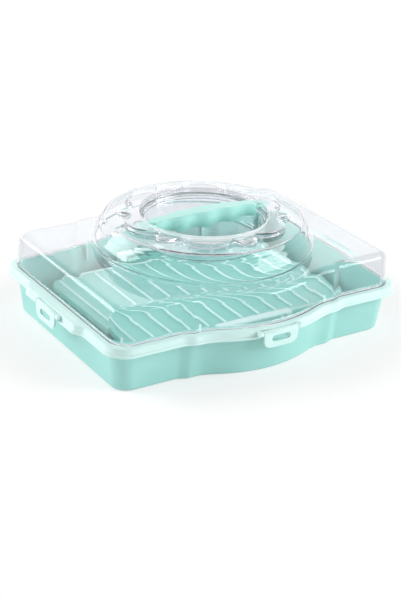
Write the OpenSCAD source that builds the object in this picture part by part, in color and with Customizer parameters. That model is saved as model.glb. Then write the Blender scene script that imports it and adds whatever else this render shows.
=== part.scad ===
// Cake carrier: a mint tray with a ribbed serving plate, and a clear domed
// lid that is hinged at the back and held by three flap latches.
// Origin: centre of the tray's underside. +Z up, front towards -Y.

/* [Outline] */
// Length of the rim between the straight stretches of the short sides
rim_length = 438; // [400:2:460]
// Width of the rim between the straight stretches of the long sides
rim_width = 314; // [300:2:330]
// Radius of the round lobes in the middle of the long sides
lobe_r = 184; // [178:1:188]
// How far the shoulders beside each lobe stand out
shoulder_out = 5.5; // [3:0.5:7]
// How far the middle of each short side stands out
side_out = 8; // [6:0.5:10]
// Radius of the rim's corners
corner_r = 31; // [26:1:32]

/* [Heights] */
// Height of the tray's top edge
tray_h = 63.7; // [58:0.1:70]
// Thickness of the lid's flange
flange_t = 2; // [1.6:0.1:2.4]
// Height of the lid's wall above the flange
lid_wall_h = 45; // [40:1:52]
// Height of the dome above the lid's shelf
dome_h = 36.5; // [33:0.5:40]
// Height of the scalloped crown above the dome
crown_h = 6; // [5.5:0.5:8]

/* [Walls] */
// Thickness of the moulded walls
wall = 2.2; // [1.8:0.1:2.6]
// Depth of the lid's skirt below its flange
skirt_h = 10; // [8:1:12]
// Gap between pieces that don't touch
gap = 0.3; // [0.3:0.05:0.5]

/* [Dome and well] */
// Radius of the rounded edge between the lid's wall and its shelf
lid_edge_r = 10.3; // [8:0.1:12]
// Radius of the dome's foot
dome_r = 141; // [138:1:144]
// Radius of the hand well
well_r = 83; // [80:1:86]
// Depth of the hand well below the dome's top
well_depth = 32; // [28:1:33]

/* [Handle] */
// Width of the handle
handle_w = 24; // [20:1:28]
// Height of the handle
handle_h = 22; // [18:1:23]
// Spacing of the finger grips
grip_pitch = 38; // [30:1:44]
// How much higher the handle's top is in the middle than at its ends
handle_rise = 4; // [0:0.5:4.5]

/* [Latches and hinge] */
// Width of each latch flap
flap_w = 51; // [46:1:56]
// Length of each latch flap below its pivot
flap_h = 20; // [18:1:24]
// Radius of the latch knuckle
latch_knuckle_r = 3.6; // [3.2:0.1:3.8]
// Radius of the latch pins
latch_pin_r = 1.5; // [1.2:0.1:1.6]
// Radius of the lid hinge's knuckles
hinge_knuckle_r = 4.5; // [4:0.1:5]
// Radius of the lid hinge's pin
hinge_pin_r = 1.9; // [1.5:0.1:2.2]

/* [Plate] */
// Length of the serving plate
plate_length = 336; // [326:2:340]
// Width of the serving plate
plate_width = 224; // [210:2:230]
// Height of the plate's top face, under the ribs
plate_top = 41.5; // [36:0.5:44]
// Number of ribs across the plate
rib_count = 13; // [9:2:15]
// Height of the ribs
rib_h = 3; // [2:0.5:4]
// Length of the lifting grips
grip_w = 116; // [90:2:120]

/* [Hidden] */
$fn = 96;

mint = "#9ED3CC";
pale_mint = "#CBEAE6";
clear = "#E6EEF0";

half_l = rim_length / 2;
half_w = rim_width / 2;
flange_z = tray_h + gap;
rim_top = flange_z + flange_t;
shelf_z = rim_top + lid_wall_h;
dome_top = shelf_z + dome_h;
crown_top = dome_top + crown_h;
skirt_z = flange_z - skirt_h;

// Insets from the skirt's lowest outer edge.
skirt_top_in = 3;
lip_in = 7;
tray_wall_in = 10.4;
tray_foot_in = 16.4;
rib_in = 13.4;
lid_foot_in = 9.6;
flange_in = 13.2;
lid_head_in = 12.7;
floor_t = 2.6;

shoulder_start = 104;
shoulder_end = 122;
side_start = 62;
side_end = 80;
blend = 8;

latch_axis_z = 61.5;
latch_axis_out = 0.7;
latch_gap_w = flap_w + 0.8;
boss_w = 6;
flap_t = 2.8;
flap_corner_r = 11;
slot_w = 27;
slot_h = 8;
slot_drop = 8;
lug_w = 24;
lug_h = 6;
flap_back = flap_t - latch_knuckle_r;
pin_fit = 0.04;
// Turn about Z, distance of the pivot, and the wall line that the lug grows from.
latch_sites = [[0, lobe_r + latch_axis_out, lobe_r],
               [-90, half_l + side_out + latch_axis_out, half_l],
               [90, half_l + side_out + latch_axis_out, half_l]];
wall_root_in = 12.6;

hinge_y = lobe_r + 7;
hinge_z = 60;
hinge_gap_w = 58;
knuckle_pitch = 11;

rib_pitch = (plate_length - 24) / (rib_count - 1);
rib_t = 2;
plate_t = 3;
plate_skirt = 8;
grip_h = 13;
pad_h = 3.5;
tongue_h = 3.2;
handle_reach = 80;

function smooth(v) = let (u = min(1, max(0, v))) u * u * (3 - 2 * u);
function blend_max(a, b, k) = let (h = max(k - abs(a - b), 0) / k) max(a, b) + h * h * k / 4;

// Edge of the long side at x, drawn in by t from the skirt's outer edge.
function long_edge(x, t) =
    let (flat = half_w - t + shoulder_out * smooth((shoulder_end - x) / (shoulder_end - shoulder_start)),
         r = lobe_r - t,
         lobe = x < r ? sqrt(r * r - x * x) : 0)
    blend_max(flat, lobe, blend);

// Edge of the short side at y, drawn in by t. The skirt's edge bulges, the walls' edges don't.
function short_edge(y, t, bulge) =
    half_l - t + bulge * side_out * smooth((side_end - y) / (side_end - side_start));

side_ys = [for (i = [0:4]) side_start + i * (side_end - side_start) / 4];
long_xs = concat([for (i = [4:-1:0]) shoulder_start + i * (shoulder_end - shoulder_start) / 4],
                 [for (i = [5:-1:0]) 70 + i * 5],
                 [for (i = [4:-1:0]) i * 14]);

// One quarter of the outline, from the short side round to the middle of the lobe.
function quarter(t, bulge, ys) =
    let (r = corner_r - 0.55 * t)
    concat([for (y = ys) [short_edge(y, t, bulge), y]],
           [for (i = [0:6]) [half_l - t - r + r * cos(15 * i), half_w - t - r + r * sin(15 * i)]],
           [for (x = long_xs) [x, long_edge(x, t)]]);

function reversed(list) = [for (i = [len(list) - 1:-1:0]) list[i]];
function inner_points(list) = [for (i = [1:len(list) - 1]) list[i]];

// The whole outline, counter-clockwise, drawn in by t. A straight short side needs no points
// between its corners; the skirt's bulging one takes those at ys.
function outline(t, bulge = 0, ys = []) =
    let (q = quarter(t, bulge, ys),
         q2 = [for (p = inner_points(reversed(q))) [-p[0], p[1]]],
         q3 = [for (p = q) [-p[0], -p[1]]],
         q4 = [for (p = inner_points(reversed(q))) [p[0], -p[1]]])
    concat(q, q2, q3, q4);

function strip(n, a, b) =
    [for (j = [0:n - 1]) each let (k = (j + 1) % n)
        [[a * n + j, b * n + j, b * n + k], [a * n + j, b * n + k, a * n + k]]];

// A wall that follows the outline: profile holds [inset, height, bulge], outside first,
// from the bottom up. A closed wall is a ring; an open one gets a floor.
module follow(profile, closed = true, ys = []) {
    rings = [for (p = profile) [for (q = outline(p[0], p[2], ys)) [q[0], q[1], p[1]]]];
    n = len(rings[0]);
    m = len(rings);
    sides = [for (i = [0:m - 2]) each strip(n, i, i + 1)];
    ends = closed ? strip(n, m - 1, 0)
                  : [[for (j = [0:n - 1]) j], [for (j = [n - 1:-1:0]) (m - 1) * n + j]];
    polyhedron(points = [for (r = rings) each r], faces = concat(sides, ends), convexity = 8);
}

// Puts its children at a latch pivot: the pivot runs along X and the outside is -Y.
module at_site(site) {
    rotate([0, 0, site[0]]) translate([0, -site[1], latch_axis_z]) children();
}

module rod(r, length) {
    rotate([0, 90, 0]) cylinder(r = r, h = length, center = true);
}

module round_slab(l, w, h, r) {
    linear_extrude(h) union() {
        square([l - 2 * r, w], center = true);
        square([l, w - 2 * r], center = true);
        for (sx = [-1, 1], sy = [-1, 1]) translate([sx * (l / 2 - r), sy * (w / 2 - r)]) circle(r);
    }
}

// Lug on the tray's wall that the flap's slot goes over.
module latch_lug(site) {
    tip = flap_back + 2 * gap;
    reach = site[1] - site[2] + wall_root_in - tip;
    translate([-lug_w / 2, tip, -slot_drop - lug_h / 2]) cube([lug_w, reach, lug_h]);
}

// Rib inside the tray's wall, which lies towards +Y. Its tip rises past the rim and guides the
// lid down.
module locating_rib() {
    translate([-1.2, -4, 44]) cube([2.4, 5, 18]);
    translate([-1.2, -4, 44]) cube([2.4, 2, 30]);
}

module locating_ribs() {
    r = corner_r - 0.55 * rib_in;
    for (sx = [-1, 1], turn = [0, 180]) rotate([0, 0, turn]) {
        translate([sx * 94, long_edge(94, rib_in), 0]) locating_rib();
        translate([sx * (half_l - rib_in - r), half_w - rib_in - r, 0])
            rotate([0, 0, -45 * sx]) translate([0, r, 0]) locating_rib();
    }
}

module tray_hinge_half() {
    width = knuckle_pitch - gap;
    for (x = [-2, 0, 2]) translate([x * knuckle_pitch, hinge_y, hinge_z]) rod(hinge_knuckle_r, width);
    difference() {
        for (x = [-2, 0, 2])
            translate([x * knuckle_pitch - width / 2, hinge_y - 25, hinge_z - 9]) cube([width, 25, 7]);
        cylinder(r = lobe_r - 12.3, h = 80);
    }
}

module tray() {
    color(mint) difference() {
        union() {
            follow([[22, 0, 0], [18.4, 1.5, 0], [tray_foot_in, 5, 0], [tray_wall_in, tray_h - 4, 0],
                    [lip_in, tray_h - 3.6, 0], [lip_in, tray_h, 0], [tray_wall_in + wall, tray_h, 0],
                    [tray_foot_in + wall, 6.6, 0], [21.2, 3.6, 0], [24.4, floor_t, 0]], closed = false);
            for (site = latch_sites) at_site(site) latch_lug(site);
            locating_ribs();
            tray_hinge_half();
        }
        translate([0, hinge_y, hinge_z]) rod(hinge_pin_r + pin_fit, 80);
    }
}

module plate_ribs() {
    rib_l = plate_width - 18;
    border_l = plate_length - 36;
    for (i = [0:rib_count - 1])
        translate([(i - (rib_count - 1) / 2) * rib_pitch - rib_t / 2, -rib_l / 2, plate_top - 0.5])
            cube([rib_t, rib_l, rib_h + 0.5]);
    for (sy = [-1, 1])
        translate([-border_l / 2, sy * (plate_width / 2 - 3) - 1, plate_top - 0.5])
            cube([border_l, rib_t, rib_h - 0.5]);
}

module plate_feet() {
    for (sx = [-1, 0, 1], sy = [-1, 1])
        translate([sx * (plate_length / 2 - 14), sy * (plate_width / 2 - 14), floor_t + gap])
            cylinder(r = 6, h = plate_top - plate_t - floor_t);
}

// Tabs in the lobes that the lifting grips clip onto.
module plate_tabs() {
    for (sy = [-1, 1])
        translate([-grip_w / 2, sy * (plate_width / 2 + 9) - 13, plate_top - plate_t])
            cube([grip_w, 26, plate_t]);
}

module plate() {
    color(mint) {
        difference() {
            translate([0, 0, plate_top - plate_skirt])
                round_slab(plate_length, plate_width, plate_skirt, 16);
            translate([0, 0, plate_top - plate_skirt - 1])
                round_slab(plate_length - 2 * wall, plate_width - 2 * wall, plate_skirt + 1 - plate_t, 14);
        }
        plate_ribs();
        plate_feet();
        plate_tabs();
    }
}

// Lifting grip: a round-ended bar on two posts, clipped over a plate tab.
module grip() {
    translate([0, plate_width / 2 + 15, plate_top]) difference() {
        round_slab(grip_w - 4, 12, grip_h, 5.9);
        translate([-grip_w / 2 + 12, -10, -1]) cube([grip_w - 24, 20, grip_h - 4]);
    }
}

module grip_front() {
    color(pale_mint) rotate([0, 0, 180]) grip();
}

module grip_back() {
    color(pale_mint) grip();
}

module latch_boss() {
    for (s = [-1, 1]) translate([s * (latch_gap_w + boss_w) / 2, 0, 0]) {
        rod(latch_knuckle_r, boss_w);
        translate([-boss_w / 2, 0, -2.6]) cube([boss_w, 8, 5.4]);
    }
}

module lid_hinge_half() {
    for (s = [-1, 1]) translate([s * knuckle_pitch, hinge_y, hinge_z]) {
        rod(hinge_knuckle_r, knuckle_pitch - gap);
        translate([-(knuckle_pitch - gap) / 2, -7, 0]) cube([knuckle_pitch - gap, 7, rim_top - hinge_z]);
        translate([-(knuckle_pitch - gap) / 2, -15, flange_z - hinge_z])
            cube([knuckle_pitch - gap, 15, flange_t]);
    }
}

module lid_rim() {
    color(pale_mint) difference() {
        union() {
            difference() {
                follow([[2.2, skirt_z, 1], [0.3, skirt_z, 1], [0, skirt_z + 0.6, 1],
                        [skirt_top_in - 0.4, rim_top - 2.4, 1], [skirt_top_in + 0.4, rim_top - 0.8, 1],
                        [skirt_top_in + 2, rim_top, 1], [flange_in, rim_top, 0],
                        [flange_in, flange_z, 0], [skirt_top_in + 2.6, flange_z, 1],
                        [skirt_top_in + 1.9, flange_z - 0.8, 1]], ys = side_ys);
                for (site = latch_sites) at_site(site) translate([-latch_gap_w / 2, -20, -20])
                    cube([latch_gap_w, 29, flange_z - latch_axis_z + 19.9]);
                translate([-hinge_gap_w / 2, hinge_y - 15, 40]) cube([hinge_gap_w, 30, flange_z - 40.1]);
            }
            for (site = latch_sites) at_site(site) latch_boss();
            lid_hinge_half();
        }
        for (site = latch_sites) at_site(site) rod(latch_pin_r + pin_fit, latch_gap_w + 2 * boss_w + 2);
        translate([0, hinge_y, hinge_z]) rod(hinge_pin_r + pin_fit, 80);
    }
}

// The lid is one clear moulding. Its walls, shelf, dome and hand well are solids that meet
// face to face.
module lid_walls() {
    edge_in = lid_head_in + lid_edge_r;
    edge_z = shelf_z - lid_edge_r;
    inner_r = lid_edge_r - wall;
    color(clear, 0.5)
        follow(concat([[lid_foot_in, rim_top, 0]],
                      [for (a = [0:22.5:90])
                          [edge_in - lid_edge_r * cos(a), edge_z + lid_edge_r * sin(a), 0]],
                      [for (a = [90:-22.5:0])
                          [edge_in - inner_r * cos(a), edge_z + inner_r * sin(a), 0]],
                      [[lid_foot_in + wall, rim_top, 0]]));
}

module lid_shelf() {
    color(clear, 0.5) translate([0, 0, shelf_z - wall]) linear_extrude(wall) difference() {
        polygon(outline(lid_head_in + lid_edge_r));
        circle(dome_r + 3);
    }
}

// Half section of the dome, outside first.
module dome_section() {
    polygon([[dome_r + 3, shelf_z], [dome_r + 0.8, shelf_z + 0.8], [dome_r + 3.6, shelf_z + 4.5],
             [dome_r + 3.4, shelf_z + 10], [dome_r, shelf_z + 17.5], [dome_r - 4, shelf_z + 23.5],
             [dome_r - 4.8, shelf_z + 25.5], [dome_r - 8, shelf_z + 30], [dome_r - 12.5, dome_top - 1.2],
             [dome_r - 18, dome_top], [well_r + 2.4, dome_top], [well_r + 2.4, dome_top - wall],
             [dome_r - 18.4, dome_top - wall], [dome_r - 14, dome_top - 3.2],
             [dome_r - 10.2, shelf_z + 28.6], [dome_r - 7, shelf_z + 24.6], [dome_r - 6.2, shelf_z + 22.6],
             [dome_r - 2.2, shelf_z + 16.6], [dome_r + 1.2, shelf_z + 9.4], [dome_r + 1.3, shelf_z + 5],
             [dome_r - 1.2, shelf_z], [dome_r - 1.2, shelf_z - wall], [dome_r + 3, shelf_z - wall]]);
}

module lid_dome() {
    color(clear, 0.5) rotate_extrude($fn = 120) dome_section();
}

// Half section of the hand well, a cup that hangs in the dome.
module well_section() {
    well_z = dome_top - well_depth;
    polygon([[well_r, dome_top], [well_r - 1, dome_top - 3], [well_r - 3.4, well_z + 3],
             [well_r - 5.4, well_z + 0.8], [well_r - 8, well_z], [0, well_z], [0, well_z - wall],
             [well_r - 7.4, well_z - wall], [well_r - 3.6, well_z - 1.2], [well_r - 1.2, well_z + 2.4],
             [well_r + 1.3, dome_top - 4], [well_r + 2.4, dome_top - wall], [well_r + 2.4, dome_top]]);
}

module hand_well() {
    color(clear, 0.5) rotate_extrude($fn = 120) well_section();
}

// Scalloped plan of the crown, with its walls drawn in by t.
module crown_plan(t) {
    circle(98 - t);
    for (i = [0:5]) rotate(60 * i) translate([78, 0]) circle(36 - t);
}

// Low pads that fill the notches between the crown's lobes.
module pad_plan(t) {
    for (i = [0:5]) rotate(60 * i + 30) translate([98, 0]) circle(15 - t);
}

module crown_ring() {
    inner_r = well_r + 0.2;
    color(clear, 0.6) translate([0, 0, dome_top]) difference() {
        union() {
            linear_extrude(crown_h) crown_plan(0);
            linear_extrude(pad_h) pad_plan(0);
        }
        translate([0, 0, -1]) linear_extrude(crown_h + 1 - wall) difference() {
            crown_plan(wall);
            circle(inner_r + wall);
        }
        translate([0, 0, -1]) linear_extrude(pad_h + 1 - wall) difference() {
            pad_plan(wall);
            circle(inner_r + wall);
        }
        translate([0, 0, -1]) cylinder(r = inner_r, h = crown_h + 2);
        for (s = [0, 180]) rotate([0, 0, s])
            translate([inner_r - 4, -9.5, -1]) cube([wall + 6, 19, tongue_h + 1.4]);
    }
}

// Side of the handle at x: a wave for the fingers, narrower towards the ends.
function handle_side(x) = handle_w / 2 - 1.2 + 1.2 * cos(360 * x / grip_pitch)
                          - 4 * pow(abs(x) / handle_reach, 1.2);

// Top and waved lower edge of the handle at x, both falling in an arch to its ends.
function handle_high(x) = crown_top + 3.5 - handle_rise * pow(x / handle_reach, 2);
function handle_low(x) = crown_top + 3.5 - handle_h + 2.5 * pow(x / handle_reach, 2)
                         + 1.3 - 1.3 * cos(360 * x / grip_pitch);

// The handle drawn in by inset at its sides, by drop at its top, and let down by reach below.
module handle_block(inset, drop, reach) {
    steps = 40;
    half = handle_reach - inset;
    xs = [for (i = [0:steps]) -half + 2 * half * i / steps];
    front = [for (x = xs) [x, inset - handle_side(x)]];
    back = [for (x = reversed(xs)) [x, handle_side(x) - inset]];
    low = [for (x = xs) [x, handle_low(x) - reach]];
    high = [for (x = reversed(xs)) [x, handle_high(x) - drop]];
    intersection() {
        linear_extrude(crown_top + 10) polygon(concat(front, back));
        rotate([90, 0, 0]) linear_extrude(60, center = true) polygon(concat(low, high));
    }
}

module handle() {
    color(mint) {
        difference() {
            handle_block(0, 0, 0);
            handle_block(2.6, 3, 10);
        }
        for (s = [-1, 1]) translate([s * 87 - 11, -9, dome_top]) cube([22, 18, tongue_h]);
    }
}

// Front view of a flap below its pivot, with round lower corners.
module flap_plan() {
    r = flap_corner_r;
    translate([-flap_w / 2, -flap_h + r]) square([flap_w, flap_h - r]);
    translate([-flap_w / 2 + r, -flap_h]) square([flap_w - 2 * r, r + 1]);
    intersection() {
        for (s = [-1, 1]) translate([s * (flap_w / 2 - r), -flap_h + r]) circle(r);
        translate([-flap_w / 2, -flap_h]) square([flap_w, flap_h]);
    }
}

module latch() {
    difference() {
        union() {
            rod(latch_knuckle_r, flap_w);
            translate([0, flap_back, 0]) rotate([90, 0, 0]) linear_extrude(flap_t) flap_plan();
        }
        translate([-slot_w / 2 + slot_h / 2, -10, -slot_drop]) {
            translate([0, 0, -slot_h / 2]) cube([slot_w - slot_h, 20, slot_h]);
            for (x = [0, slot_w - slot_h]) translate([x, 0, 0])
                rotate([-90, 0, 0]) cylinder(r = slot_h / 2, h = 20);
        }
        rod(latch_pin_r + pin_fit, flap_w + 2);
    }
}

module latch_front() {
    color(pale_mint) at_site(latch_sites[0]) latch();
}

module latch_left() {
    color(pale_mint) at_site(latch_sites[1]) latch();
}

module latch_right() {
    color(pale_mint) at_site(latch_sites[2]) latch();
}

module latch_pin() {
    rod(latch_pin_r, latch_gap_w + 2 * boss_w);
}

module latch_pin_front() {
    color("silver") at_site(latch_sites[0]) latch_pin();
}

module latch_pin_left() {
    color("silver") at_site(latch_sites[1]) latch_pin();
}

module latch_pin_right() {
    color("silver") at_site(latch_sites[2]) latch_pin();
}

module hinge_pin() {
    color("silver") translate([0, hinge_y, hinge_z]) rod(hinge_pin_r, 5 * knuckle_pitch);
}

tray();
plate();
grip_front();
grip_back();
lid_rim();
lid_walls();
lid_shelf();
lid_dome();
hand_well();
crown_ring();
handle();
latch_front();
latch_left();
latch_right();
latch_pin_front();
latch_pin_left();
latch_pin_right();
hinge_pin();
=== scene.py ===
# %% [markdown]
# # A cake carrier with a clear hinged lid
# The object is a mint tray with a lobed outline, a ribbed serving plate in it, and a clear lid
# with a round dome. On top of the dome a scalloped crown surrounds a hand well with a bar
# handle. Everything that moves or carries load already exists as CAD bodies. This lesson builds
# the smooth visible skins round them, and the finishes that make them look moulded.

# %% Load the frame
import math
import bmesh
import bpy
from mathutils import Matrix, Vector


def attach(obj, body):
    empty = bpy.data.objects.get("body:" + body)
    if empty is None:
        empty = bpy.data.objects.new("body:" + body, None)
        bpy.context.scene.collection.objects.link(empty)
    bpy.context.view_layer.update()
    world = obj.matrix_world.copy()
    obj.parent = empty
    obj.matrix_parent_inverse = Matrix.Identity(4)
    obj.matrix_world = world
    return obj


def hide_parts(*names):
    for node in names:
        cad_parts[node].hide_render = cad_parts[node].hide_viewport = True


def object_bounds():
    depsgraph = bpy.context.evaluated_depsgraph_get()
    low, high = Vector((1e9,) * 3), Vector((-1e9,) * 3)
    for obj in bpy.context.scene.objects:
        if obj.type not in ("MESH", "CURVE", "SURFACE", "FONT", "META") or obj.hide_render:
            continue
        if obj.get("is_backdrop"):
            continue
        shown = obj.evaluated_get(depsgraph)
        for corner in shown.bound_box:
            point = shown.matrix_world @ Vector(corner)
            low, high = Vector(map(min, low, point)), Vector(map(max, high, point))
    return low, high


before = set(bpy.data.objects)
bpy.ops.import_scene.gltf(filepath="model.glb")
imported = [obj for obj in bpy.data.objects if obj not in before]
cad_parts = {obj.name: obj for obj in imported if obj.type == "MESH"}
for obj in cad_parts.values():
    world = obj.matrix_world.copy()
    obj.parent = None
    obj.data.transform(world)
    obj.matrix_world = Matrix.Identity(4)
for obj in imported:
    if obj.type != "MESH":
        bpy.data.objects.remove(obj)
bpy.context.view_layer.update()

# %% [markdown]
# ## The camera
# The carrier was photographed from its front left and from above, with a long lens, so that its
# parallel edges nearly stay parallel. The camera is placed by its direction from a point near
# the tray. A small roll follows the photographer's slightly tilted horizon.

# %% Stand the camera
AZIMUTH = math.radians(33.125)
ELEVATION = math.radians(25.067)
ROLL = math.radians(2.652)
DISTANCE = 1.86317
AIM = Vector((-0.042289, -0.0661, 0.061008))

away = Vector((-math.sin(AZIMUTH) * math.cos(ELEVATION),
               -math.cos(AZIMUTH) * math.cos(ELEVATION), math.sin(ELEVATION)))
level = Vector((math.cos(AZIMUTH), -math.sin(AZIMUTH), 0))
right = level * math.cos(ROLL) + away.cross(level) * math.sin(ROLL)
up = away.cross(right)
lens = bpy.data.cameras.new("camera")
lens.lens = 86.94
lens.clip_start = 0.1
lens.clip_end = 60
camera = bpy.data.objects.new("camera", lens)
turn = Matrix((right, up, away)).transposed().to_4x4()
camera.matrix_world = Matrix.Translation(AIM + away * DISTANCE) @ turn
bpy.context.scene.collection.objects.link(camera)
bpy.context.scene.camera = camera
print("camera at", [round(v, 3) for v in camera.matrix_world.translation])

# %% [markdown]
# ## Colour values
# A colour picker shows sRGB, and shaders mix light in linear values, so each hex colour passes
# through one function. It is written once and used for every finish and every lamp.

# %% Turn a hex colour to linear light
def hex_colour(code):
    channels = [int(code[i:i + 2], 16) / 255 for i in (1, 3, 5)]
    linear = [c / 12.92 if c <= 0.04045 else ((c + 0.055) / 1.055) ** 2.4 for c in channels]
    return (*linear, 1.0)


print("mint in linear light:", [round(v, 3) for v in hex_colour("#9CD1CB")])

# %% [markdown]
# ## Adding shader nodes
# Every finish is a small tree of nodes. One function adds a node, sets its options, and either
# links a socket into an input or writes a plain value to it.

# %% Add one node
def add(tree, kind, sockets=None, **settings):
    made = tree.nodes.new(kind)
    for name, value in settings.items():
        setattr(made, name, value)
    for name, value in (sockets or {}).items():
        if isinstance(value, bpy.types.NodeSocket):
            tree.links.new(value, made.inputs[name])
        else:
            made.inputs[name].default_value = value
    return made


def start_finish(name):
    finish = bpy.data.materials.new(name)
    finish.use_nodes = True
    finish.node_tree.nodes.clear()
    return finish, finish.node_tree


print("nodes are added with add(tree, kind, sockets, settings)")

# %% [markdown]
# ## Mint polypropylene
# The tray, the plate and the handle are injection-moulded polypropylene. The mould is finely
# spark-finished, so the surface is satin and not mirror bright. Up close it shows a faint grain
# of about half a millimetre. Over a hand's width the colour clouds a little where the melt
# flowed. Polypropylene has an IOR of about 1.49.

# %% The satin mint finish
GRAIN = 0.0006
GRAIN_DEPTH = 0.00002
FLOW = 0.055
POLYPROPYLENE_IOR = 1.49


def moulded(name, tint, flow_tint, rough_low, rough_high):
    finish, tree = start_finish(name)
    place = add(tree, "ShaderNodeTexCoord").outputs["Object"]
    flow = add(tree, "ShaderNodeTexNoise", {"Vector": place, "Scale": 1 / FLOW, "Detail": 3.0})
    grain = add(tree, "ShaderNodeTexNoise", {"Vector": place, "Scale": 1 / GRAIN, "Detail": 2.0})
    blend = add(tree, "ShaderNodeMapRange", {"Value": flow.outputs["Fac"], "From Min": 0.35,
                                            "From Max": 0.65, "To Min": 0.0, "To Max": 1.0})
    colour = add(tree, "ShaderNodeMix", {"Factor": blend.outputs["Result"],
                                         6: hex_colour(tint), 7: hex_colour(flow_tint)},
                 data_type="RGBA")
    rough = add(tree, "ShaderNodeMapRange", {"Value": grain.outputs["Fac"], "From Min": 0.3,
                                            "From Max": 0.7, "To Min": rough_low,
                                            "To Max": rough_high})
    bump = add(tree, "ShaderNodeBump", {"Height": grain.outputs["Fac"], "Strength": 0.5,
                                        "Distance": GRAIN_DEPTH})
    skin = add(tree, "ShaderNodeBsdfPrincipled", {"Base Color": colour.outputs[2],
                                                  "Roughness": rough.outputs["Result"],
                                                  "Normal": bump.outputs["Normal"],
                                                  "IOR": POLYPROPYLENE_IOR})
    add(tree, "ShaderNodeOutputMaterial", {"Surface": skin.outputs["BSDF"]})
    return finish


mint_tray = moulded("satin_mint_polypropylene", "#9CD1CB", "#97CDC7", 0.40, 0.50)
# The plate's mint is deeper than the tray's. This is painted bounce light, standing in for the mint
# light that the tray's walls throw onto it.
deepened_mint_plate = moulded("mint_polypropylene_painted_bounce_light", "#8FD3CA", "#88CEC4", 0.42, 0.52)
# The handle's mint is lighter than the tray's. This is painted light, which lifts it out of the
# shade in the hand well. Its lower roughness is its polish.
lightened_mint_handle = moulded("polished_mint_polypropylene_painted_light", "#A9DDD6", "#A3D9D2", 0.30, 0.38)
# A paler mint for the thin ribs and the grips. Its paleness is a painted highlight, standing in for
# the light that their rounded tops catch.
pale_mint_painted_highlight = moulded("pale_mint_polypropylene_painted_highlight", "#DAF4F1", "#D3F0ED", 0.18, 0.26)
# The rim and the flaps: partly the mint of the tray's lip under the clear flange, and partly a
# painted white sheen for the reflection over it, so the tint is paler than the tray.
pale_mint_painted_sheen = moulded("mint_polypropylene_painted_sheen", "#CBE8E5", "#C4E4E0", 0.22, 0.30)
for finish in (mint_tray, deepened_mint_plate, lightened_mint_handle, pale_mint_painted_highlight, pale_mint_painted_sheen):
    print("finish:", finish.name)

# %% [markdown]
# ## Clear styrene acrylonitrile
# The lid is a hard, glossy clear plastic, moulded 2.2 mm thick in a polished tool. Its IOR is about
# 1.57, and it is set a little lower here, to 1.5, which keeps the edge lines thin. Real refraction
# gives those grey lines. Light from the lamps has to reach the plate inside, and following it
# through every wall would leave the render noisy, so shadow rays and soft bounced light pass
# straight through a clear tint instead. The surface has a very shallow ripple, as mouldings have.

# %% The clear finish
RIPPLE = 0.045
RIPPLE_DEPTH = 0.0004
CLEAR_IOR = 1.5


def clear_plastic(name, tint, shade_tint, roughness):
    finish, tree = start_finish(name)
    place = add(tree, "ShaderNodeTexCoord").outputs["Object"]
    wave = add(tree, "ShaderNodeTexNoise", {"Vector": place, "Scale": 1 / RIPPLE, "Detail": 1.0})
    bump = add(tree, "ShaderNodeBump", {"Height": wave.outputs["Fac"], "Strength": 0.25,
                                        "Distance": RIPPLE_DEPTH})
    body = add(tree, "ShaderNodeBsdfPrincipled", {"Base Color": hex_colour(tint),
                                                  "Roughness": roughness, "IOR": CLEAR_IOR,
                                                  "Transmission Weight": 1.0,
                                                  "Normal": bump.outputs["Normal"]})
    passing = add(tree, "ShaderNodeBsdfTransparent", {"Color": hex_colour(shade_tint)})
    path = add(tree, "ShaderNodeLightPath")
    lit = add(tree, "ShaderNodeMixShader", {0: path.outputs["Is Shadow Ray"],
                                            1: body.outputs["BSDF"], 2: passing.outputs["BSDF"]})
    mixed = add(tree, "ShaderNodeMixShader", {0: path.outputs["Is Diffuse Ray"],
                                              1: lit.outputs["Shader"],
                                              2: passing.outputs["BSDF"]})
    add(tree, "ShaderNodeOutputMaterial", {"Surface": mixed.outputs["Shader"]})
    return finish


clear_lid = clear_plastic("clear_moulded_styrene_acrylonitrile", "#F9F9FC", "#FDFEFE", 0.02)
print("finish:", clear_lid.name)

# %% [markdown]
# ## Drawn steel wire
# The pins of the latches and of the hinge are short lengths of drawn wire. Drawing leaves fine
# lines along the pin, so the roughness is streaked in thin rings of noise stretched along X.

# %% The pin finish
pin_wire, tree = start_finish("drawn_steel_wire")
place = add(tree, "ShaderNodeTexCoord").outputs["Object"]
stretch = add(tree, "ShaderNodeMapping", {"Vector": place, "Scale": (120, 3000, 3000)})
streak = add(tree, "ShaderNodeTexNoise", {"Vector": stretch.outputs[0], "Scale": 1.0})
sheen = add(tree, "ShaderNodeMapRange", {"Value": streak.outputs["Fac"], "To Min": 0.2,
                                        "To Max": 0.45})
wire = add(tree, "ShaderNodeBsdfPrincipled", {"Base Color": hex_colour("#C9CBCC"),
                                              "Metallic": 1.0,
                                              "Roughness": sheen.outputs["Result"]})
add(tree, "ShaderNodeOutputMaterial", {"Surface": wire.outputs["BSDF"]})
print("finish:", pin_wire.name)

# %% [markdown]
# ## The outline that everything follows
# Tray, rim and lid share one outline: straight sides with rounded corners, a shoulder and a big
# round lobe in the middle of each long side, and on the rim's skirt a bulge in the middle of each
# short side. It is written once as a function of how far the edge is drawn in, in millimetres.
# The same rule stands in the CAD, only with fewer points, so that the skins fit the bodies.

# %% The outline in millimetres
HALF_LENGTH = 219.0
HALF_WIDTH = 157.0
LOBE = 184.0
CORNER = 31.0
SHOULDER = 5.5
SIDE_BULGE = 8.0
SHOULDER_END = 122
BULGE_END = 80
SLOPE = 18


def ease(value):
    share = min(1.0, max(0.0, value))
    return share * share * (3 - 2 * share)


def joined(a, b, reach):
    near = max(reach - abs(a - b), 0) / reach
    return max(a, b) + near * near * reach / 4


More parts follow.
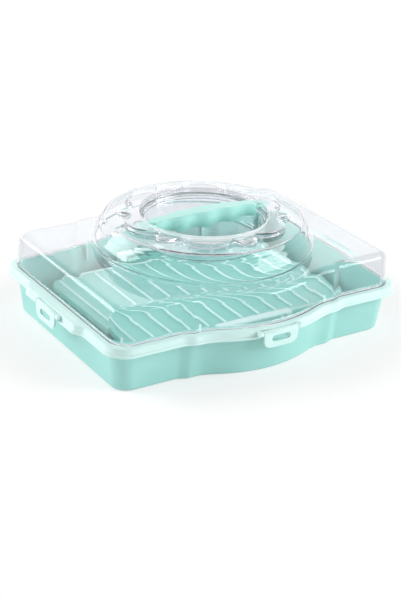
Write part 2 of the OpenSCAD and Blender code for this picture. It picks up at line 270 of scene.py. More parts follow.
def long_edge(x, inset):
    flat = HALF_WIDTH - inset + SHOULDER * ease((SHOULDER_END - x) / SLOPE)
    radius = LOBE - inset
    lobe = math.sqrt(radius ** 2 - x ** 2) if x < radius else 0
    return joined(flat, lobe, 8)


def short_edge(y, inset, bulge):
    return HALF_LENGTH - inset + bulge * SIDE_BULGE * ease((BULGE_END - y) / SLOPE)


def outline(inset, bulge=0.0):
    radius = CORNER - 0.55 * inset
    cx, cy = HALF_LENGTH - inset - radius, HALF_WIDTH - inset - radius
    quarter = [(short_edge(y, inset, bulge), y) for y in [4 * i for i in range(15)] +
               [58 + 2 * i for i in range(13)]]
    quarter += [(cx + radius * math.cos(math.radians(a)), cy + radius * math.sin(math.radians(a)))
                for a in [7.5 * i for i in range(13)]]
    xs = [126 - 1.5 * i for i in range(15)] + [103 - 2 * i for i in range(22)]
    xs += [57 - 3 * i for i in range(20)]
    quarter += [(x, long_edge(x, inset)) for x in xs]
    # The first and last points lie on the axes, so the mirrored quarters leave them out.
    left = [(-x, y) for x, y in reversed(quarter[:-1])]
    half = quarter + left
    return half + [(-x, -y) for x, y in half[1:-1]]


print("points round the outline:", len(outline(0)))

# %% [markdown]
# ## Walls that follow the outline
# A moulded wall is a cross section carried round the outline. Each ring of edges is extruded, and
# the copies are moved to the next pair of inset and height. Corners of the cross section are
# softened first, because no moulded edge is truly sharp.

# %% Soften a cross section
MM = 0.001


def softened(section, steps=5):
    out = []
    for i, (*point, cut) in enumerate(section):
        here = Vector(point)
        if cut == 0:
            out.append(here)
            continue
        before, after = Vector(section[i - 1][:-1]), Vector(section[(i + 1) % len(section)][:-1])
        a = here.lerp(before, cut / (before - here).xy.length)
        c = here.lerp(after, cut / (after - here).xy.length)
        for k in range(steps + 1):
            t = k / steps
            out.append(a * (1 - t) ** 2 + here * (2 * t * (1 - t)) + c * t * t)
    return out


def outline_ring(station):
    inset, height, bulge = station
    return [Vector((x * MM, y * MM, height * MM)) for x, y in outline(inset, bulge)]


print("a softened corner has", len(softened([(0, 0, 0, 0), (5, 0, 0, 1), (5, 5, 0, 0)])) - 2,
      "points")

# %% Extrude ring after ring
def start_ring(bm, places):
    ring = [bm.verts.new(p) for p in places]
    for a, b in zip(ring, ring[1:] + ring[:1]):
        bm.edges.new((a, b))
    return ring


def ring_edges(ring):
    wanted = {frozenset(pair) for pair in zip(ring, ring[1:] + ring[:1])}
    return [e for v in ring for e in v.link_edges
            if frozenset(e.verts) in wanted and e.verts[0] == v]


def next_ring(bm, ring, places):
    made = bmesh.ops.extrude_edge_only(bm, edges=ring_edges(ring))["geom"]
    fresh = {v for v in made if isinstance(v, bmesh.types.BMVert)}
    moved = []
    for old, place in zip(ring, places):
        twin = next(e.other_vert(old) for e in old.link_edges if e.other_vert(old) in fresh)
        twin.co = place
        moved.append(twin)
    return moved


def carry_round(bm, section, closed):
    stations = softened(section)
    first = ring = start_ring(bm, outline_ring(stations[0]))
    for station in stations[1:]:
        ring = next_ring(bm, ring, outline_ring(station))
    if closed:
        next_ring(bm, ring, [v.co for v in first])
        bmesh.ops.remove_doubles(bm, verts=bm.verts, dist=1e-7)
    return first, ring


print("rings are ready to extrude")

# %% [markdown]
# ## Turning a mesh into a piece
# Each piece is checked for its outward side, shaded smooth except at real edges, given its
# finish, and set to ride on its CAD body in place of the plain CAD node.

# %% Finish a piece
def piece(name, bm, finish, body, nodes=(), sharp=35, *, slot):
    bmesh.ops.recalc_face_normals(bm, faces=bm.faces)
    mesh = bpy.data.meshes.new(name)
    bm.to_mesh(mesh)
    bm.free()
    mesh.shade_smooth()
    mesh.set_sharp_from_angle(angle=math.radians(sharp))
    made = bpy.data.objects.new(name, mesh)
    bpy.context.scene.collection.objects.link(made)
    mesh.materials.append(finish)
    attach(made, body)
    if nodes:
        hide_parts(*nodes)
    print(f"{name}: {len(mesh.vertices)} points, {len(mesh.polygons)} faces")
    return made


def thicken(made, wall, even=False):
    skin = made.modifiers.new("wall", "SOLIDIFY")
    skin.thickness = wall * MM
    skin.offset = -1
    skin.use_even_offset = even
    print(f"{made.name}: wall of {wall} mm")


def edges_sharper(bm, degrees, keep=lambda e: True):
    limit = math.radians(degrees)
    return [e for e in bm.edges if len(e.link_faces) == 2
            and e.calc_face_angle(0) > limit and keep(e)]


def soften_edges(bm, edges, width, steps=3):
    bmesh.ops.bevel(bm, geom=edges, offset=width * MM, segments=steps, affect="EDGES",
                    profile=0.5, material=-1, clamp_overlap=True)


def block(bm, low, high, width=0.0, turn=Matrix.Identity(4)):
    made = bmesh.ops.create_cube(bm, size=1)["verts"]
    low, high = Vector(low) * MM, Vector(high) * MM
    fit = Matrix.Translation((low + high) / 2) @ Matrix.Diagonal((*(high - low), 1))
    bmesh.ops.transform(bm, matrix=turn @ fit, verts=made)
    if width:
        edges = list({e for v in made for e in v.link_edges})
        soften_edges(bm, edges, width, 2)


def rod(bm, centre, radius, length, width=0.3, turn=Matrix.Identity(4)):
    made = bmesh.ops.create_cone(bm, cap_ends=True, segments=40, radius1=radius * MM,
                                 radius2=radius * MM, depth=length * MM)["verts"]
    lay = Matrix.Translation(Vector(centre) * MM) @ Matrix.Rotation(math.pi / 2, 4, "Y")
    bmesh.ops.transform(bm, matrix=turn @ lay, verts=made)
    caps = {f for v in made for f in v.link_faces if len(f.verts) > 4}
    soften_edges(bm, list({e for f in caps for e in f.edges}), width, 2)


print("helpers for blocks and rods are ready")

# %% [markdown]
# ## The tray
# The tray is one open moulding: a flat underside, a rounded foot, walls that lean out a little so
# that they leave the mould, and a lip on top that the lid's flange rests on. The section runs up
# the outside, over the lip and down the inside, and the floor and the underside close it. Thin
# pale ribs on the inside of the wall guide the lid down.

# %% Carry the tray's section round
# The turn from the front in degrees, and how far out the pivot and the outline lie.
LATCH_SITES = {"front": (0, 184.7, LOBE), "left": (-90, 227.7, HALF_LENGTH),
               "right": (90, 227.7, HALF_LENGTH)}
LATCH_HEIGHT = 61.5
HINGE_Y, HINGE_Z = 191.0, 60.0
KNUCKLE_R, KNUCKLE_L, KNUCKLE_PITCH = 4.5, 10.7, 11
WALL_INSIDE = 12.6


def at_site(site):
    angle, distance, _ = LATCH_SITES[site]
    there = Matrix.Rotation(math.radians(angle), 4, "Z")
    return there @ Matrix.Translation(Vector((0, -distance, LATCH_HEIGHT)) * MM)


tray_section = [(27, 0, 0, 0), (22.4, 0, 0, 0), (17.0, 0, 0, 4.9), (10.4, 59.7, 0, 0.5),
                (7, 60.1, 0, 0.5), (7, 63.7, 0, 0.7), (WALL_INSIDE, 63.7, 0, 0.7),
                (19.0, 2.6, 0, 4.6), (25.5, 2.6, 0, 0), (27, 2.6, 0, 0)]
bm = bmesh.new()
underside, floor_edge = carry_round(bm, tray_section, closed=False)
bm.faces.new(underside)
bm.faces.new(floor_edge)

# %% Add the lugs and the hinge knuckles
for site, (_, distance, edge_line) in LATCH_SITES.items():
    reach = distance - edge_line + WALL_INSIDE
    block(bm, (-12, -0.2, -11), (12, reach, -5), 0.8, at_site(site))
for i in (-2, 0, 2):
    x, half = i * KNUCKLE_PITCH, KNUCKLE_L / 2
    rod(bm, (x, HINGE_Y, HINGE_Z), KNUCKLE_R, KNUCKLE_L, 0.4)
    block(bm, (x - half, 170.6, 51), (x + half, HINGE_Y, 58), 0.5)
piece("tray_skin", bm, mint_tray, "base", ["tray"], slot="mint_plastic")

# %% Stand the locating ribs in the tray
GUIDE_INSET, GUIDE_X = 13.4, 94
corner_r = CORNER - 0.55 * GUIDE_INSET
bm = bmesh.new()
for sx in (-1, 1):
    for half_turn in (0, 180):
        about = Matrix.Rotation(math.radians(half_turn), 4, "Z")
        wall_y = long_edge(GUIDE_X, GUIDE_INSET)
        on_wall = Matrix.Translation(Vector((sx * GUIDE_X, wall_y, 0)) * MM)
        centre_x = sx * (HALF_LENGTH - GUIDE_INSET - corner_r)
        centre = (centre_x, HALF_WIDTH - GUIDE_INSET - corner_r, 0)
        in_corner = (Matrix.Translation(Vector(centre) * MM)
                     @ Matrix.Rotation(math.radians(-45 * sx), 4, "Z")
                     @ Matrix.Translation((0, corner_r * MM, 0)))
        for place in (on_wall, in_corner):
            block(bm, (-1.2, -4, 44), (1.2, 1, 62), 0.4, about @ place)
            block(bm, (-1.2, -4, 60), (1.2, -2, 74), 0.6, about @ place)
# The locating ribs wear the paler mint, whose paleness is a painted highlight.
piece("tray_locating_ribs", bm, pale_mint_painted_highlight, "base", slot="mint_plastic")

# %% [markdown]
# ## The serving plate
# The plate is a thin panel with a downturned edge. Thirteen ribs run from front to back and a
# border line closes them along each long side. The ribs are less than two millimetres thick, and
# the light that their rounded tops catch and lets through them is painted into a paler mint of
# their own.

# %% Mould the panel
PLATE_L, PLATE_W, PLATE_Z = 336.0, 224.0, 41.5
GRIP_HALF = 56


def rounded_panel(bm, length, width, low, high, radius):
    made = bmesh.ops.create_grid(bm, x_segments=1, y_segments=1, size=0.5)["verts"]
    fit = Matrix.Translation((0, 0, high * MM)) @ Matrix.Diagonal((length * MM, width * MM, 1, 1))
    bmesh.ops.transform(bm, matrix=fit, verts=made)
    bmesh.ops.bevel(bm, geom=made, offset=radius * MM, segments=8, affect="VERTICES",
                    profile=0.5, material=-1)
    down = bmesh.ops.extrude_face_region(bm, geom=bm.faces[:])["geom"]
    verts = [v for v in down if isinstance(v, bmesh.types.BMVert)]
    bmesh.ops.translate(bm, verts=verts, vec=(0, 0, (low - high) * MM))
    return [f for f in down if isinstance(f, bmesh.types.BMFace)]


def on_panel_top(edge):
    return all(v.co.z > (PLATE_Z - 0.1) * MM for v in edge.verts)


bm = bmesh.new()
bottom = rounded_panel(bm, PLATE_L, PLATE_W, PLATE_Z - 8, PLATE_Z, 16)
bmesh.ops.recalc_face_normals(bm, faces=bm.faces)
bmesh.ops.inset_region(bm, faces=bottom, thickness=2.2 * MM, use_even_offset=True)
under = bmesh.ops.extrude_face_region(bm, geom=bottom)["geom"]
bmesh.ops.translate(bm, verts=[v for v in under if isinstance(v, bmesh.types.BMVert)],
                    vec=(0, 0, 5 * MM))
bmesh.ops.delete(bm, geom=bottom, context="FACES_ONLY")
soften_edges(bm, edges_sharper(bm, 50, on_panel_top), 1.4, 4)
for sx in (-1, 0, 1):
    for sy in (-1, 1):
        x, y = sx * (PLATE_L / 2 - 14), sy * (PLATE_W / 2 - 14)
        block(bm, (x - 5, y - 5, 2.9), (x + 5, y + 5, PLATE_Z - 2), 1.5)
for sy in (-1, 1):
    y = sy * (PLATE_W / 2 + 9)
    block(bm, (-GRIP_HALF - 2, y - 13, PLATE_Z - 3), (GRIP_HALF + 2, y + 13, PLATE_Z), 0.7)
piece("plate_skin", bm, deepened_mint_plate, "insert", ["plate"], slot="plate_plastic")

# %% Lay the ribs on the panel
RIB_COUNT = 13
RIB_PITCH = (PLATE_L - 24) / (RIB_COUNT - 1)
RIB_END = PLATE_W / 2 - 9
BORDER_END = PLATE_L / 2 - 18
RIB_HALF = 0.8
RIB_ROOT = PLATE_Z - 0.4
bm = bmesh.new()
for i in range(RIB_COUNT):
    x = (i - (RIB_COUNT - 1) / 2) * RIB_PITCH
    block(bm, (x - RIB_HALF, -RIB_END, RIB_ROOT), (x + RIB_HALF, RIB_END, PLATE_Z + 3), 0.55)
for sy in (-1, 1):
    y = sy * (PLATE_W / 2 - 3)
    low = (-BORDER_END, y - RIB_HALF, RIB_ROOT)
    high = (BORDER_END, y + RIB_HALF, PLATE_Z + 2.4)
    block(bm, low, high, 0.55)
piece("plate_ribs", bm, pale_mint_painted_highlight, "insert", slot="plate_plastic")

# %% [markdown]
# ## The lifting grips
# At the front and the back of the plate a bar on two posts lets the fingers lift it. Each grip is
# built from three rounded blocks, two posts and the bar across them.

# %% Two grips
def grip(bm, sign):
    y = sign * (PLATE_W / 2 + 15)
    for s in (-1, 1):
        low, high = sorted((s * (GRIP_HALF - 10), s * GRIP_HALF))
        block(bm, (low, y - 6, PLATE_Z), (high, y + 6, PLATE_Z + 10), 1.2)
    block(bm, (-GRIP_HALF, y - 6, PLATE_Z + 9), (GRIP_HALF, y + 6, PLATE_Z + 13), 1.8)


for name, sign in (("front", -1), ("back", 1)):
    bm = bmesh.new()
    grip(bm, sign)
    # The grips share the ribs' paler mint with its painted highlight.
    piece("grip_skin_" + name, bm, pale_mint_painted_highlight, "insert", ["grip_" + name], slot="grip_plastic")

# %% [markdown]
# ## The lid's rim
# A flange rests on the tray's lip and a skirt hangs down outside it. The skirt is open where the
# three flaps and the hinge sit, with its ends rounded off. The ring is carried round the outline
# like the tray, and Boolean cutters with flared mouths then open the gaps, because a cut is how
# the mould's own inserts leave them.

# %% Carry the rim's section round
rim_section = [(2.2, 54, 1, 0.5), (0.0, 54, 1, 1.0), (0.1, 57.4, 1, 0.9), (1.5, 58.2, 1, 0.5),
               (2.6, 66, 1, 2.2), (7.6, 66, 0.5, 0), (12.2, 66, 0, 0.5), (12.2, 64, 0, 0.3),
               (5.2, 64, 1, 0.8)]
bm = bmesh.new()
carry_round(bm, rim_section, closed=True)
# The rim's pale mint carries a painted white sheen.
rim = piece("rim_skin", bm, pale_mint_painted_sheen, "lid", ["lid_rim"], slot="rim_plastic")

# %% Cut the gaps in the skirt
FLAP_GAP, HINGE_GAP, GAP_MOUTH = 25.9, 29.0, 1.6


def gap_cutter(bm, half, turn):
    steps = [(half, 2.4), (half, -3.5)]
    steps += [(half + GAP_MOUTH * (1 - math.cos(a)), -3.5 - GAP_MOUTH * math.sin(a))
              for a in [math.radians(15 * k) for k in range(1, 7)]]
    steps += [(half + GAP_MOUTH, -16)]
    side = steps + [(-x, z) for x, z in reversed(steps)]
    made = [bm.verts.new(Vector((x, -20, z)) * MM) for x, z in side]
    face = bm.faces.new(made)
    far = bmesh.ops.extrude_face_region(bm, geom=[face])["geom"]
    grown = [v for v in far if isinstance(v, bmesh.types.BMVert)]
    bmesh.ops.translate(bm, verts=grown, vec=(0, 29 * MM, 0))
    bmesh.ops.transform(bm, matrix=turn, verts=made + grown)


bm = bmesh.new()
for site in LATCH_SITES:
    gap_cutter(bm, FLAP_GAP, at_site(site))
gap_cutter(bm, HINGE_GAP, Matrix.Rotation(math.pi, 4, "Z") @ at_site("front"))
bmesh.ops.recalc_face_normals(bm, faces=bm.faces)
cutter_mesh = bpy.data.meshes.new("gap_cutter")
bm.to_mesh(cutter_mesh)
bm.free()
cutter = bpy.data.objects.new("gap_cutter", cutter_mesh)
bpy.context.scene.collection.objects.link(cutter)
cut = rim.modifiers.new("gaps", "BOOLEAN")
cut.operation = "DIFFERENCE"
cut.solver = "EXACT"
cut.object = cutter
carved = bpy.data.meshes.new_from_object(rim.evaluated_get(bpy.context.evaluated_depsgraph_get()))
rim.modifiers.clear()
bpy.data.objects.remove(cutter)
print("rim after its gaps:", len(carved.polygons), "faces")

# %% Add the pivot bosses and the lid's hinge knuckles
PIVOT_R, BOSS_X, BOSS_L = 3.6, 28.9, 6.6
bm = bmesh.new()
bm.from_mesh(carved)
for site in LATCH_SITES:
    for s in (-1, 1):
        x = s * BOSS_X
        # The boss reaches a little further out than its web, so that its end closes over the pin.
        rod(bm, (x + s * 0.3, 0, 0), PIVOT_R, BOSS_L, 0.8, at_site(site))
        block(bm, (x - 3, 0, -2.6), (x + 3, 8, 2.8), 0.4, at_site(site))
for s in (-1, 1):
    x, half = s * KNUCKLE_PITCH, KNUCKLE_L / 2
    rod(bm, (x, HINGE_Y, HINGE_Z), KNUCKLE_R, KNUCKLE_L, 0.4)
    block(bm, (x - half, HINGE_Y - 7, HINGE_Z), (x + half, HINGE_Y, 66), 0.4)
    block(bm, (x - half, HINGE_Y - 15, 64), (x + half, HINGE_Y, 66), 0.4)
bm.to_mesh(rim.data)
bm.free()
rim.data.shade_smooth()
rim.data.set_sharp_from_angle(angle=math.radians(32))
print("rim_skin:", len(rim.data.polygons), "faces")

# %% [markdown]
# ## The latch flaps
# Each flap is a tongue with two round corners and a long slot that snaps over a lug on the tray.
# Two loops with the same number of points are bridged, which leaves a clean ring of faces round
# the slot. The ring is then thickened and its edges softened.

# %% Shape one flap
def walk(corners, count):
    """Points at even steps along a closed line."""
    sides = [(b - a).length for a, b in zip(corners, corners[1:] + corners[:1])]
    total = sum(sides)
    out, i, gone = [], 0, 0.0
    for k in range(count):
        want = total * k / count
        while gone + sides[i] < want - 1e-9:
            gone += sides[i]
            i += 1
        out.append(corners[i].lerp(corners[(i + 1) % len(corners)], (want - gone) / sides[i]))
    return out


def arc(cx, cz, radius, start, end, steps=12):
    angles = [math.radians(start + (end - start) * k / steps) for k in range(steps + 1)]
    return [Vector((cx + radius * math.cos(a), 0, cz + radius * math.sin(a))) for a in angles]


FLAP_HALF, FLAP_DROP, FLAP_CORNER = 25.5, 20, 11
EDGE_POINTS = 96
corner_x, corner_z = FLAP_HALF - FLAP_CORNER, FLAP_CORNER - FLAP_DROP
FLAP_EDGE = ([Vector((0, 0, 0)), Vector((-FLAP_HALF, 0, 0))]
             + arc(-corner_x, corner_z, FLAP_CORNER, 180, 270)
             + arc(corner_x, corner_z, FLAP_CORNER, 270, 360) + [Vector((FLAP_HALF, 0, 0))])
SLOT_EDGE = [Vector((0, 0, -4))] + arc(-9.5, -8, 4, 90, 270) + arc(9.5, -8, 4, -90, 90)


def flap(bm, turn):
    outer = start_ring(bm, [p * MM for p in walk(FLAP_EDGE, EDGE_POINTS)])
    slot = start_ring(bm, [p * MM for p in walk(SLOT_EDGE, EDGE_POINTS)])
    faces = bmesh.ops.bridge_loops(bm, edges=ring_edges(outer) + ring_edges(slot))["faces"]
    bmesh.ops.translate(bm, verts=outer + slot, vec=(0, -0.8 * MM, 0))
    grown = bmesh.ops.extrude_face_region(bm, geom=faces)["geom"]
    verts = [v for v in grown if isinstance(v, bmesh.types.BMVert)]
    bmesh.ops.translate(bm, verts=verts, vec=(0, -2.8 * MM, 0))
    bmesh.ops.recalc_face_normals(bm, faces=bm.faces)
    soften_edges(bm, edges_sharper(bm, 60), 0.7, 3)
    bmesh.ops.transform(bm, matrix=turn, verts=bm.verts)
    rod(bm, (0, 0, 0), PIVOT_R, 2 * FLAP_HALF, 0.5, turn)


for site in LATCH_SITES:
    bm = bmesh.new()
    flap(bm, at_site(site))
    piece("flap_skin_" + site, bm, pale_mint_painted_sheen, site + "_flap", ["latch_" + site],
          slot="rim_plastic")

# %% [markdown]
# ## The clear lid
# The lid is a single moulding, so it is built as one skin: up the walls, over the shelf, up the
# dome, across its top and down into the hand well. The walls follow the outline and the dome is
# spun, and the flat shelf bridges the two. Solidify then gives the 2.2 mm wall, which is what
# makes the refraction believable.

# %% Walls and shelf
LID_WALL = 2.2
SHELF_Z = 111
lid_section = [(9.6, 65.2, 0, 0), (10.1, 71.6, 0, 0), (13.62, SHELF_Z, 0, 10.5),
               (27.5, SHELF_Z, 0, 0), (28.5, SHELF_Z, 0, 0)]
bm = bmesh.new()
_, shelf_ring = carry_round(bm, lid_section, closed=False)
print("lid foot and shelf:", len(bm.faces), "faces")

# %% Spin the dome and the well
def flowing(points, steps=4):
    """A smooth curve that a row of control points pulls along."""
    out = [points[0]]
    for a, b, c in zip(points, points[1:], points[2:]):
        start = a if a is points[0] else (a + b) / 2
        end = c if c is points[-1] else (b + c) / 2
        for k in range(1, steps + 1):
            t = k / steps
            out.append(start * (1 - t) ** 2 + b * (2 * t * (1 - t)) + end * t * t)
    return out


DOME_R, DOME_TOP = 150, 147.5
FLOOR_R, FLOOR_Z = 69.0, 115.5
TURN_STEPS = 192
dome_curve = flowing([Vector((r, 0, z)) for r, z in (
    (DOME_R, SHELF_Z), (148, SHELF_Z), (144.8, SHELF_Z), (143.2, 112.4), (145.2, 114.8),
    (146.0, 119.5), (144.2, 125.5), (140.0, 131.7), (137.4, 135.0), (136.4, 138.0),
    (132.8, 141.6), (130.4, 147.3), (125.0, DOME_TOP), (120.5, DOME_TOP))])
well_curve = flowing([Vector((r, 0, z)) for r, z in (
    (89, DOME_TOP), (86, DOME_TOP), (82.6, DOME_TOP), (82.3, 146.4), (82.0, 145.6),
    (80.6, 145.3), (80.4, 143.6), (80.2, 141.8), (79.0, 141.4), (78.8, 138.5), (78.4, 128.0),
    (77.8, 118.5), (76.0, FLOOR_Z), (72.0, FLOOR_Z), (FLOOR_R, FLOOR_Z))])
line = [bm.verts.new(p * MM) for p in dome_curve + well_curve]
spun = [bm.edges.new(pair) for pair in zip(line, line[1:])]
bmesh.ops.spin(bm, geom=line + spun, cent=(0, 0, 0), axis=(0, 0, 1), dvec=(0, 0, 0),
               angle=2 * math.pi, steps=TURN_STEPS, use_merge=True)
print("dome and well curves:", len(line), "points each turn")

# %% Close the shelf and the well's floor, and thicken
def loop_near(bm, radius, height):
    return [e for e in bm.edges if len(e.link_faces) == 1
            and all(abs(v.co.z - height * MM) < 1e-6 for v in e.verts)
            and all(abs(v.co.xy.length - radius * MM) < 2e-5 for v in e.verts)]


dome_foot = loop_near(bm, DOME_R, SHELF_Z)
bmesh.ops.bridge_loops(bm, edges=ring_edges(shelf_ring) + dome_foot)
well_floor = loop_near(bm, FLOOR_R, FLOOR_Z)
bmesh.ops.holes_fill(bm, edges=well_floor, sides=0)
lid_nodes = ["lid_walls", "lid_shelf", "lid_dome", "hand_well"]
lid = piece("lid_skin", bm, clear_lid, "lid", lid_nodes, sharp=60, slot="clear_plastic")
thicken(lid, LID_WALL, even=True)

# %% [markdown]
# ## The scalloped crown
# The crown is a hollow clear ring with six wide lobes. A low pad fills each notch between them,
# a little over half as high as the lobes. Two plans of overlapping circles give the low tier and
# the high one, and the edge of a plan is wherever its outermost circle lies.

# %% Plan of the crown
CROWN_CORE = 98.0
LOBE_CENTRE, LOBE_R = 78, 36
PAD_CENTRE, PAD_R = 98, 15
CROWN_STEPS = 432


def circle_reach(angle, distance, radius):
    across = distance * math.sin(angle)
    if abs(across) > radius or math.cos(angle) < 0:
        return 0.0
    return distance * math.cos(angle) + math.sqrt(radius ** 2 - across ** 2)


def plan_edge(angle, first, distance, radius, edge):
    for k in range(6):
        turned = (angle - math.radians(60 * k + first) + math.pi) % (2 * math.pi) - math.pi
        edge = joined(edge, circle_reach(turned, distance, radius), 1.5)
    return edge


def high_edge(angle):
    return plan_edge(angle, 0, LOBE_CENTRE, LOBE_R, CROWN_CORE)


def low_edge(angle):
    return plan_edge(angle, 30, PAD_CENTRE, PAD_R, high_edge(angle))


angles = [2 * math.pi * k / CROWN_STEPS for k in range(CROWN_STEPS)]
print("crown reaches from", round(min(map(low_edge, angles)), 1), "to",
      round(max(map(low_edge, angles)), 1), "mm")

# %% Raise the crown
CROWN_FOOT, PAD_TOP, CROWN_TOP = 147.55, 151.0, 153.5
CROWN_WALL = 1.4


def crown_profile(angle):
    """Radius and height up the outside of the crown. On a pad the low tier's top is a ledge."""
    low_r, high_r = low_edge(angle), high_edge(angle)
    ledge = min(1.0, max(0.0, (low_r - high_r) / 3))
    return [(low_r, CROWN_FOOT), (low_r - 0.3, PAD_TOP - 1.2),
            (low_r - 0.4 - 0.4 * ledge, PAD_TOP - 0.3),
            (low_r - 0.5 - 1.2 * ledge, PAD_TOP), (high_r - 0.6, PAD_TOP + 0.15),
            (high_r - 0.8, CROWN_TOP - 1.1), (high_r - 1.2, CROWN_TOP - 0.4),
            (high_r - 2.0, CROWN_TOP), (high_r - 5.0, CROWN_TOP)]


def on_circle(angle, radius, height):
    return Vector((radius * math.cos(angle), radius * math.sin(angle), height)) * MM


outside = zip(*[[on_circle(a, *point) for point in crown_profile(a)] for a in angles])
inside = softened([(91.0, CROWN_TOP, 0, 0), (84.4, CROWN_TOP, 0, 2.2),
                   (83.4, CROWN_FOOT, 0, 0)], 6)
levels = list(outside) + [[on_circle(a, r, z) for a in angles] for r, z, _ in inside]
bm = bmesh.new()
ring = start_ring(bm, levels[0])
for places in levels[1:]:
    ring = next_ring(bm, ring, places)
crown = piece("crown_skin", bm, clear_lid, "lid", ["crown_ring"], sharp=50, slot="clear_plastic")
thicken(crown, CROWN_WALL)

# %% [markdown]
# ## The bar handle
# The handle is a channel, open below, with waves for the fingers along its sides and its lower
# edge, and its top falls in a low arch to the ends. A grid is bent to the arch and drawn in to
# the waves, its rim is extruded down, and Solidify makes the channel's wall. A tongue at each end
# goes under the crown.

# %% Shape the handle
HANDLE_REACH, HANDLE_HALF, HANDLE_WALL = 80.0, 12, 2.6
FINGER_PITCH = 38
TIP_R, TIP_START = 3.4, 76


def finger_wave(x):
    return 1.0 - math.cos(2 * math.pi * x / FINGER_PITCH)


def handle_side(x):
    near_end = max(0.0, abs(x) - TIP_START)
    tip = TIP_R - math.sqrt(max(0.0, TIP_R ** 2 - (near_end * 0.85) ** 2))
    return HANDLE_HALF - 1.2 * finger_wave(x) - 4 * (abs(x) / HANDLE_REACH) ** 1.2 - tip


def handle_high(x):
    return 157 - 4 * (x / HANDLE_REACH) ** 2


def handle_low(x):
    return 135 + 1.3 * finger_wave(x) + 2.5 * (x / HANDLE_REACH) ** 2


bm = bmesh.new()
for v in bmesh.ops.create_grid(bm, x_segments=128, y_segments=6, size=1)["verts"]:
    x = v.co.x * HANDLE_REACH
    v.co = Vector((x, v.co.y * handle_side(x), handle_high(x))) * MM
rim_of_top = [e for e in bm.edges if len(e.link_faces) == 1]
down = bmesh.ops.extrude_edge_only(bm, edges=rim_of_top)["geom"]
for v in down:
    if isinstance(v, bmesh.types.BMVert):
        v.co.z = handle_low(v.co.x / MM) * MM
bmesh.ops.recalc_face_normals(bm, faces=bm.faces)
soften_edges(bm, rim_of_top, 2.0, 4)
handle = piece("handle_skin", bm, lightened_mint_handle, "lid", ["handle"], sharp=50, slot="handle_plastic")
thicken(handle, HANDLE_WALL)
bm = bmesh.new()
for s in (-1, 1):
    low_x, high_x = sorted((s * 77, s * 98))
    block(bm, (low_x, -9, 147.6), (high_x, 9, 150.6), 0.9)
piece("handle_tongues", bm, lightened_mint_handle, "lid", slot="handle_plastic")

# %% [markdown]
# ## Pins
# The pins are plain drawn wire, and their CAD nodes already have the right shape, so they only
# get their finish.

# %% Finish the pins
for name in ("latch_pin_front", "latch_pin_left", "latch_pin_right", "hinge_pin"):
    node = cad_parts[name]
    node.data.materials.clear()
    node.data.materials.append(pin_wire)
print("pins finished")

# %% [markdown]
# ## Floor and studio
# The carrier stands on a white sweep. Near it the floor is a real matt surface that takes its
# shadow. Further out the floor turns to plain white, which is how a lit backdrop looks in a
# product picture. The walls of the studio are darker above, and clear plastic shows them as
# grey lines along its edges.

# %% The white floor
FLOOR_HALF = 8
bm = bmesh.new()
bmesh.ops.create_grid(bm, x_segments=1, y_segments=1, size=FLOOR_HALF)
floor_mesh = bpy.data.meshes.new("floor")
bm.to_mesh(floor_mesh)
bm.free()
floor = bpy.data.objects.new("floor", floor_mesh)
bpy.context.scene.collection.objects.link(floor)
floor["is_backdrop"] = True
paper, tree = start_finish("matt_white_paper")
place = add(tree, "ShaderNodeTexCoord").outputs["Object"]
reach = add(tree, "ShaderNodeVectorMath", {0: place}, operation="LENGTH")
far = add(tree, "ShaderNodeMapRange", {"Value": reach.outputs["Value"], "From Min": 0.32,
                                      "From Max": 0.62, "To Min": 0.52},
          interpolation_type="SMOOTHSTEP")
path = add(tree, "ShaderNodeLightPath")
seen = add(tree, "ShaderNodeMath", {0: path.outputs["Is Camera Ray"],
                                    1: path.outputs["Is Glossy Ray"]}, operation="MAXIMUM")
seen = add(tree, "ShaderNodeMath", {0: seen.outputs[0],
                                    1: path.outputs["Is Transmission Ray"]}, operation="MAXIMUM")
share = add(tree, "ShaderNodeMath", {0: seen.outputs[0], 1: far.outputs["Result"]},
            operation="MULTIPLY")
matt = add(tree, "ShaderNodeBsdfDiffuse", {"Color": hex_colour("#FDFDFD")})
# Through the clear lid the paper shows a little grey, so that the lid's edges stand out from it.
shown = add(tree, "ShaderNodeMapRange", {"Value": path.outputs["Is Transmission Ray"],
                                        "To Min": 1.0, "To Max": 0.85})
glow = add(tree, "ShaderNodeEmission", {"Color": hex_colour("#FFFFFF"),
                                        "Strength": shown.outputs["Result"]})
mixed = add(tree, "ShaderNodeMixShader", {0: share.outputs[0], 1: matt.outputs[0],
                                          2: glow.outputs[0]})
add(tree, "ShaderNodeOutputMaterial", {"Surface": mixed.outputs[0]})
floor_mesh.materials.append(paper)
print("floor finish:", paper.name)

# %% The studio's walls
world = bpy.data.worlds.new("studio")
bpy.context.scene.world = world
world.use_nodes = True
tree = world.node_tree
tree.nodes.clear()
direction = add(tree, "ShaderNodeTexCoord").outputs["Generated"]
parts = add(tree, "ShaderNodeSeparateXYZ", {0: direction})
walls = add(tree, "ShaderNodeMapRange", {"Value": parts.outputs["Z"], "From Min": 0.02,
                                        "From Max": 0.6, "To Min": 0.95, "To Max": 0.56})
# A tall white wall stands behind the carrier. The lid's level faces mirror it to the camera, and
# the faces that lean forward mirror the grey above it.
backdrop = add(tree, "ShaderNodeMapRange", {"Value": parts.outputs["Y"], "From Min": 0.35,
                                           "From Max": 0.7}, interpolation_type="SMOOTHSTEP")
top_edge = add(tree, "ShaderNodeMapRange", {"Value": parts.outputs["Z"], "From Min": 0.5,
                                           "From Max": 0.72, "To Min": 1.15, "To Max": 0.0},
               interpolation_type="SMOOTHSTEP")
glare = add(tree, "ShaderNodeMath", {0: backdrop.outputs["Result"],
                                     1: top_edge.outputs["Result"]}, operation="MULTIPLY")
path = add(tree, "ShaderNodeLightPath")
glare = add(tree, "ShaderNodeMath", {0: glare.outputs[0], 1: path.outputs["Is Glossy Ray"]},
            operation="MULTIPLY")
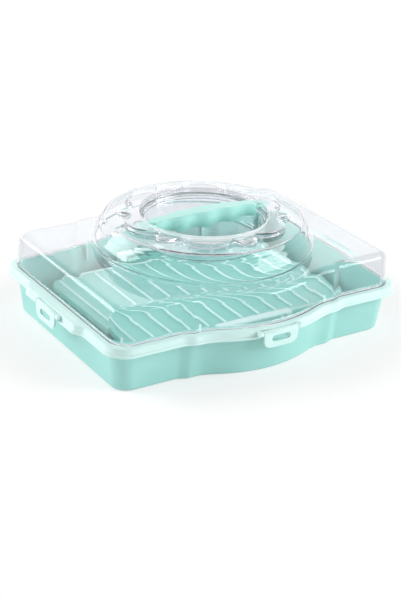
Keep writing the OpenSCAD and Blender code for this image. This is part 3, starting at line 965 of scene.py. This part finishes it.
# A refracted ray counts as glossy too, so it is taken out: through the plastic the walls are grey.
mirrored = add(tree, "ShaderNodeMath", {0: 1.0, 1: path.outputs["Is Transmission Ray"]},
               operation="SUBTRACT")
glare = add(tree, "ShaderNodeMath", {0: glare.outputs[0], 1: mirrored.outputs[0]},
            operation="MULTIPLY")
# The walls give less light than they show, so that the two lamps model the form.
giving = add(tree, "ShaderNodeMapRange", {"Value": path.outputs["Is Diffuse Ray"], "To Min": 1.0,
                                         "To Max": 0.74})
lit = add(tree, "ShaderNodeMath", {0: walls.outputs["Result"], 1: giving.outputs["Result"]},
          operation="MULTIPLY")
lit = add(tree, "ShaderNodeMath", {0: lit.outputs[0], 1: path.outputs["Is Camera Ray"]},
          operation="MAXIMUM")
lit = add(tree, "ShaderNodeMath", {0: lit.outputs[0], 1: glare.outputs[0]}, operation="ADD")
sky = add(tree, "ShaderNodeBackground", {"Color": hex_colour("#FFFFFF"),
                                         "Strength": lit.outputs[0]})
add(tree, "ShaderNodeOutputWorld", {"Surface": sky.outputs[0]})
print("studio walls are white below and grey above")

# %% [markdown]
# ## Lamps
# Two wide soft lamps stand opposite each other, one behind on the left and one in front on the
# right. Each lights one of the two sides that the camera sees, and the corner between them stays
# darker, which shows the round corners and the shoulders of the lobe. Their own shapes are kept
# out of the reflections, because the clear lid mirrors the studio's wide walls and not two squares.

# %% Hang the lamps
LAMP_WIDTH, LAMP_HEIGHT = 2.2, 1.8
LAMP_TARGET = Vector((0, 0, 0.05))


def soft_lamp(name, place, brightness):
    data = bpy.data.lights.new(name, "AREA")
    data.shape = "RECTANGLE"
    data.size, data.size_y = LAMP_WIDTH, LAMP_HEIGHT
    data.energy = brightness * math.pi * LAMP_WIDTH * LAMP_HEIGHT
    lamp = bpy.data.objects.new(name, data)
    aim = (LAMP_TARGET - Vector(place)).to_track_quat("-Z", "Y")
    lamp.matrix_world = Matrix.Translation(place) @ aim.to_matrix().to_4x4()
    lamp.visible_glossy = False
    bpy.context.scene.collection.objects.link(lamp)
    print(f"{name}: {data.energy:.0f} watts")


soft_lamp("left_behind", (-2.2, 1.9, 1.35), 7.4)
soft_lamp("right_in_front", (2.2, -1.9, 1.35), 7.2)

# %% Let light through many clear walls
cycles = bpy.context.scene.cycles
cycles.transparent_max_bounces = 24
cycles.max_bounces = 20
cycles.transmission_bounces = 18
cycles.glossy_bounces = 18
print("light may meet", cycles.transmission_bounces, "clear walls")

# %% [markdown]
# ## Close the scene
# The colours are shown as they are, with no film look. The box of the finished model is printed in
# millimetres.

# %% Write the sizes and finish
bpy.context.scene.view_settings.view_transform = "Standard"
low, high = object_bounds()
print("visual size in mm:", [round(v * 1000, 1) for v in high - low])
